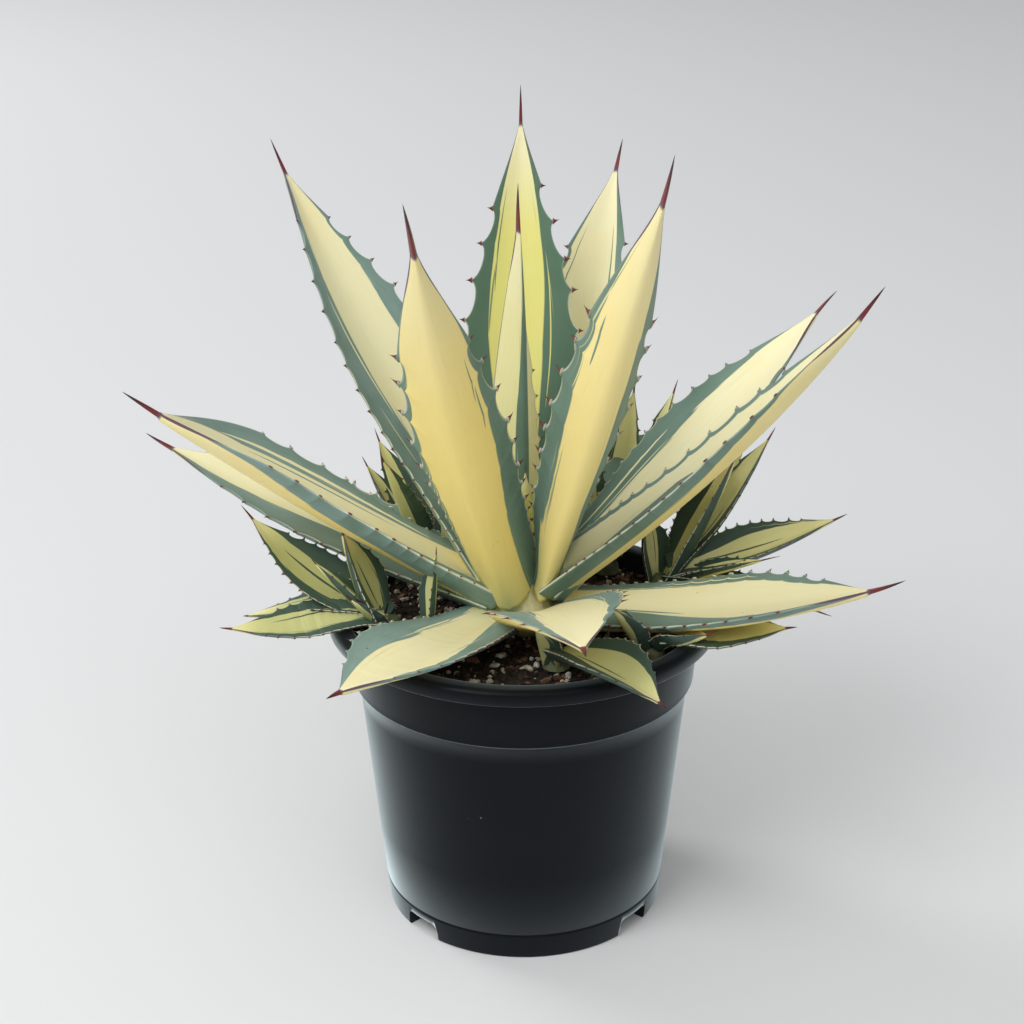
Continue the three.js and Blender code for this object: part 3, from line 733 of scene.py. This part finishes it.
def soil_material():
    g = Graph("potting_mix")
    place = g.position()
    lumps = g.noise(place, 180.0, 5.0, 0.65)
    tone = g.noise(place, 60.0, 2.0)
    colour = g.mix(g.step(lumps, 0.35, 0.7), (0.006, 0.0045, 0.004), (0.045, 0.028, 0.018))
    colour = g.mix(g.step(tone, 0.55, 0.8, 0.0, 0.6), colour, (0.07, 0.04, 0.022))
    g.set(Base_Color=colour, Roughness=0.95, Normal=g.bump(lumps, 0.9, 0.002))
    return g.material


def grain_material(name, dark, light, roughness, scale):
    g = Graph(name)
    place = g.position()
    colour = g.mix(g.step(g.noise(place, scale, 3.0), 0.35, 0.7), dark, light)
    pits = g.noise(place, scale * 6, 3.0)
    g.set(Base_Color=colour, Roughness=roughness, Normal=g.bump(pits, 0.5, 0.0005))
    return g.material


def floor_material():
    g = Graph("floor")
    g.set(Base_Color=(0.78, 0.785, 0.79), Roughness=0.9, Specular_IOR_Level=0.2)
    return g.material


# ---- Pot ----


def arc(centre, radius, start, stop, steps):
    """Points of an arc in the radius-height plane; angles in degrees."""
    angles = np.radians(np.linspace(start, stop, steps))
    return [(centre[0] + radius * math.cos(a), centre[1] + radius * math.sin(a)) for a in angles]


def wall_radius(height):
    return lerp(BASE_RADIUS, LEDGE_RADIUS - LEDGE_STEP, height / LEDGE_HEIGHT)


def pot_profile():
    top = POT_HEIGHT / MM
    lip = top - LIP_DEPTH
    foot = BASE_RADIUS - FOOT_WIDTH
    profile = [(0.01, FLOOR_HEIGHT), (foot - 3, FLOOR_HEIGHT)]
    profile += arc((foot - 3, FLOOR_HEIGHT - 3), 3, 90, 0, 4)[1:]
    profile += [(foot, 0.8), (foot + 0.8, 0.0)]
    profile += arc((BASE_RADIUS - 1.2, 1.2), 1.2, -90, 0, 5)
    profile += [(wall_radius(h), h) for h in (16, 17.2)]
    profile += [(wall_radius(18) - 0.35, 17.7), (wall_radius(18) - 0.35, 18.3), (wall_radius(19), 18.8)]
    profile += [(wall_radius(h), h) for h in (60, 110, 150, LEDGE_HEIGHT - 3.4)]
    profile += arc((LEDGE_RADIUS - 1.4, LEDGE_HEIGHT - 0.2), 1.5, -70, 10, 6)
    for u in (0.08, 0.5, 1.0):
        profile.append((lerp(LEDGE_RADIUS, COLLAR_RADIUS, u), lerp(LEDGE_HEIGHT + 1.5, lip, u)))
    profile += [(COLLAR_RADIUS + 0.3, top - WALL - 2.4), (COLLAR_RADIUS + 1.5, top - WALL - 1.3)]
    profile += [(RIM_RADIUS - WALL - 1.2, top - WALL - 1.3), (RIM_RADIUS - WALL, top - WALL - 2.4)]
    profile += [(RIM_RADIUS - WALL + 0.1, lip + 0.6)]
    profile += arc((RIM_RADIUS - WALL / 2, lip + 0.9), WALL / 2 - 0.1, 200, 340, 6)
    profile += arc((RIM_RADIUS - LIP_ROUNDING, top - LIP_ROUNDING), LIP_ROUNDING, 0, 90, 9)
    profile += arc((COLLAR_RADIUS + 1.4, top - 3.6), 3.4, 95, 178, 7)
    profile += [(COLLAR_RADIUS - WALL - 0.4, top - 12), (LEDGE_RADIUS - WALL, LEDGE_HEIGHT + 1)]
    profile += [(wall_radius(LEDGE_HEIGHT) - WALL, LEDGE_HEIGHT - 3)]
    inner_floor = FLOOR_HEIGHT + WALL
    profile += [(wall_radius(inner_floor + 3) - WALL, inner_floor + 3)]
    profile += [(wall_radius(inner_floor) - WALL - 3, inner_floor), (0.01, inner_floor)]
    return profile


def ring(radius, height, angles):
    """A ring of points round the pot's axis; height is one number or one for each angle."""
    return np.stack([radius * np.cos(angles), radius * np.sin(angles), height + 0 * angles], -1)


def lathe(name, profile, segments, material):
    """A closed solid of revolution about the pot's axis."""
    angles = np.arange(segments) * 2 * np.pi / segments
    rings = [ring(radius, height, angles) for radius, height in profile]
    shell = Shell()
    shell.add(np.vstack(rings), tube_faces(len(profile), segments))
    return shell.build(name, material)


def cut(piece, tools):
    """Subtracts the tools from a piece for good."""
    for tool in tools:
        modifier = piece.modifiers.new("cut", "BOOLEAN")
        modifier.operation, modifier.object, modifier.solver = "DIFFERENCE", tool, "EXACT"
    depsgraph = bpy.context.evaluated_depsgraph_get()
    mesh = bpy.data.meshes.new_from_object(piece.evaluated_get(depsgraph))
    piece.modifiers.clear()
    piece.data = mesh
    for tool in tools:
        bpy.data.objects.remove(tool)


def notch_tool(angle):
    """A rounded slot block through the foot ring at an angle."""
    mesh = bpy.data.meshes.new("notch")
    form = bmesh.new()
    bmesh.ops.create_cube(form, size=1.0)
    size = (FOOT_WIDTH * 3 * MM, NOTCH["wide"] * MM, NOTCH["high"] * 2 * MM)
    bmesh.ops.scale(form, vec=size, verts=form.verts)
    upper = [e for e in form.edges if abs(e.verts[0].co.x - e.verts[1].co.x) > 0.01]
    bmesh.ops.bevel(form, geom=upper, offset=NOTCH["corner"] * MM, segments=5, affect="EDGES", profile=0.5)
    form.to_mesh(mesh)
    form.free()
    turn = Matrix.Rotation(math.radians(angle), 4, "Z")
    outward = Matrix.Translation((BASE_RADIUS * MM, 0, 0))
    mesh.transform(Matrix.Translation(Vector(AXIS)) @ turn @ outward)
    tool = bpy.data.objects.new("notch", mesh)
    bpy.context.scene.collection.objects.link(tool)
    return tool


def drain_tool(angle):
    """A round bar through the pot's floor at an angle."""
    mesh = bpy.data.meshes.new("drain")
    form = bmesh.new()
    bmesh.ops.create_cone(form, cap_ends=True, segments=32, radius1=DRAIN_HOLE["radius"] * MM,
                          radius2=DRAIN_HOLE["radius"] * MM, depth=WALL * 4 * MM)
    form.to_mesh(mesh)
    form.free()
    turn = Matrix.Rotation(math.radians(angle), 4, "Z")
    outward = Matrix.Translation((DRAIN_HOLE["ring"] * MM, 0, (FLOOR_HEIGHT + WALL / 2) * MM))
    mesh.transform(Matrix.Translation(Vector(AXIS)) @ turn @ outward)
    tool = bpy.data.objects.new("drain", mesh)
    bpy.context.scene.collection.objects.link(tool)
    return tool


def make_pot(material):
    pot = lathe("nursery_pot", pot_profile(), 192, material)
    tools = [notch_tool(angle) for angle in NOTCH["angles"]]
    tools += [drain_tool(360 / DRAIN_HOLE["count"] * i) for i in range(DRAIN_HOLE["count"])]
    cut(pot, tools)
    return pot


# ---- Soil ----


def soil_height(radius, angle):
    """Height of the mix's surface in millimetres: a slight mound with soft unevenness."""
    reach = radius / COLLAR_RADIUS
    mound = SOIL_MOUND * (1 - reach) ** 1.2
    swell = 1.1 * np.sin(3 * angle + 0.6) * reach + 0.9 * np.sin(7 * angle + radius / 11)
    return SOIL_LEVEL / MM + mound + swell * 0.6


def make_soil(material):
    """The mix as one body: a filling of the pot's inside with a rough, mounded top."""
    rings, segments = 64, 220
    rng = np.random.default_rng(11)
    angles = np.arange(segments) * 2 * np.pi / segments
    bottom = FLOOR_HEIGHT + WALL + 0.6
    side = [(wall_radius(h) - WALL - SOIL_GAP, h) for h in (bottom + 6, LEDGE_HEIGHT - 4)]
    points = []
    for radius, height in ((0.01, bottom), (SOIL_BOTTOM_RADIUS, bottom), *side,
                           (SOIL_RADIUS - 1.0, LEDGE_HEIGHT + 16)):
        points.append(ring(radius, height, angles))
    for r in range(rings):
        radius = SOIL_RADIUS * (1 - r / rings)
        height = soil_height(radius, angles) + rng.normal(0, 0.55, segments) * (0.3 if r == 0 else 1)
        points.append(ring(radius, height, angles))
    shell = Shell()
    shell.add(np.vstack(points), tube_faces(len(points), segments))
    return shell.build("potting_mix", material)


def grain_form(kind):
    """Unit vertices and faces of one grain: a low icosphere, later squashed and roughened."""
    form = bmesh.new()
    bmesh.ops.create_icosphere(form, subdivisions=2 if kind == "perlite" else 1, radius=1.0)
    vertices = np.array([v.co[:] for v in form.verts])
    faces = [tuple(v.index for v in f.verts) for f in form.faces]
    form.free()
    return vertices, faces


def scatter(name, kind, count, sizes, flatness, material, seed):
    """Loose grains of one kind, half sunk all over the mix, as one piece."""
    rng = np.random.default_rng(seed)
    vertices, faces = grain_form(kind)
    shell = Shell()
    for _ in range(count):
        radius = math.sqrt(rng.uniform(BARE_RADIUS**2, (SOIL_RADIUS - 2) ** 2))
        angle = rng.uniform(0, 2 * np.pi)
        size = sizes[0] + (sizes[1] - sizes[0]) * rng.random() ** 2.2
        shape = [rng.uniform(0.8, 1.5), rng.uniform(0.6, 1.0), flatness * rng.uniform(0.7, 1.1)]
        scale = size / 2 * np.array(shape)
        lumps = 1 + rng.normal(0, 0.13, len(vertices))[:, None]
        tilt = Euler((rng.uniform(-0.5, 0.5), rng.uniform(-0.5, 0.5), rng.uniform(0, 6.28))).to_matrix()
        grain = (vertices * lumps * scale) @ np.array(tilt).T
        height = float(soil_height(radius, angle)) + size * flatness * 0.22
        grain += (radius * math.cos(angle), radius * math.sin(angle), height)
        shell.add(grain, faces)
    piece = shell.build(name, material)
    piece.data.shade_flat()
    return piece


# ---- Stage, lights and camera ----


def make_stage():
    mesh = bpy.data.meshes.new("floor")
    mesh.from_pydata([(-12, -12, 0), (12, -12, 0), (12, 12, 0), (-12, 12, 0)], [], [(0, 1, 2, 3)])
    mesh.materials.append(floor_material())
    floor = bpy.data.objects.new("floor", mesh)
    bpy.context.scene.collection.objects.link(floor)


def area_light(name, place, target, size, power, colour=(1, 1, 1)):
    data = bpy.data.lights.new(name, "AREA")
    data.shape, data.size, data.energy, data.color = "DISK", size, power, colour
    light = bpy.data.objects.new(name, data)
    light.location = Vector(AXIS) + Vector(place)
    aim = Vector(AXIS) + Vector(target) - light.location
    light.rotation_euler = aim.to_track_quat("-Z", "Y").to_euler()
    bpy.context.scene.collection.objects.link(light)


def make_lights():
    world = bpy.data.worlds.new("studio")
    world.use_nodes = True
    background = world.node_tree.nodes["Background"]
    background.inputs["Color"].default_value = (0.97, 0.985, 1.0, 1.0)
    background.inputs["Strength"].default_value = 0.46
    bpy.context.scene.world = world
    area_light("key", (-1.5, -1.7, 2.5), (0, 0, 0.25), 2.0, 52)
    area_light("front_wash", (0.9, -2.6, 3.0), (0.3, -0.6, 0), 3.0, 24)
    area_light("left_wash", (-3.6, 2.6, 3.4), (-1.4, 3.6, 0), 2.5, 108)


CAMERA = dict(place=(-7, -1185, 759), pitch=22.2, roll=-0.3, focal=70.2)


def make_camera():
    data = bpy.data.cameras.new("camera")
    data.sensor_width = 36
    data.lens = CAMERA["focal"]
    data.clip_start, data.clip_end = 0.05, 50
    camera = bpy.data.objects.new("camera", data)
    camera.location = Vector(AXIS) + Vector(CAMERA["place"]) * MM
    tilt = Matrix.Rotation(math.radians(90 - CAMERA["pitch"]), 3, "X")
    camera.rotation_euler = (tilt @ Matrix.Rotation(math.radians(CAMERA["roll"]), 3, "Z")).to_euler()
    bpy.context.scene.collection.objects.link(camera)
    bpy.context.scene.camera = camera


# ---- Assembly ----


def adopt(piece, node):
    """A piece that stands for one CAD node."""
    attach(piece, "root")
    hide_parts(node)


def make_leaves():
    # The base colours given here tint the band low on each leaf: partly its own yellow-green, partly
    # painted shade
    main = leaf_material(
        "leaf",
        cream=(0.90, 0.84, 0.52), golden=(0.94, 0.75, 0.25), lime_tint=(0.80, 0.76, 0.20),
        green=(0.085, 0.165, 0.100), bloom_green=(0.25, 0.36, 0.335), base_tint_and_shade=(0.58, 0.58, 0.27),
    )
    young = leaf_material(
        "offset_leaf",
        cream=(0.82, 0.79, 0.38), golden=(0.58, 0.56, 0.17), lime_tint=(0.30, 0.34, 0.12),
        green=(0.045, 0.085, 0.06), bloom_green=(0.12, 0.19, 0.16), base_tint_and_shade=(0.36, 0.40, 0.14),
    )
    for leaf in all_leaves():
        constants = dict(seed=leaf.seed, length=leaf.length * MM, width=leaf.width / 2 * MM)
        constants.update({key: leaf.look[key] for key in ("gold", "lime", "bloom", "specks")})
        material, slot = (young, "offset_leaf") if leaf.is_offset else (main, "leaf")
        piece = leaf_shell(leaf).build(f"{leaf.name}_blade", material, constants)
        adopt(piece, leaf.name)


def make_stems():
    """The stems keep the frame's own bodies and only get their materials."""
    main = grain_material("stem", (0.36, 0.34, 0.15), (0.62, 0.58, 0.34), 0.7, 90)
    young = grain_material("offset_stem", (0.07, 0.09, 0.04), (0.20, 0.22, 0.11), 0.7, 90)
    for name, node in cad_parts.items():
        if name.endswith("stem"):
            node.data.materials.clear()
            node.data.materials.append(main if name == "stem" else young)


# name, kind, count, smallest and largest size, flatness, seed, then the material's dark and light
# colours, roughness and pattern scale
GRAINS = (
    ("crumbs", "crumb", 2600, (1.2, 4.5), 0.8, 21,
     (0.008, 0.006, 0.005), (0.05, 0.03, 0.018), 0.95, 300),
    ("bark_chips", "bark", 560, (3.0, 10.0), 0.35, 22,
     (0.05, 0.026, 0.014), (0.24, 0.13, 0.07), 0.85, 160),
    ("perlite", "perlite", 430, (1.4, 5.6), 0.85, 23,
     (0.42, 0.36, 0.26), (0.80, 0.76, 0.68), 0.9, 260),
)


def make_grains():
    for name, kind, count, sizes, flatness, seed, dark, light, roughness, scale in GRAINS:
        material = grain_material(name, dark, light, roughness, scale)
        grains = scatter(name, kind, count, sizes, flatness, material, seed)
        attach(grains, "root")


make_camera()
make_lights()
make_stage()
adopt(make_pot(pot_material()), "pot")
adopt(make_soil(soil_material()), "soil")
make_grains()
make_stems()
make_leaves()

bpy.context.scene.view_settings.view_transform = "Standard"
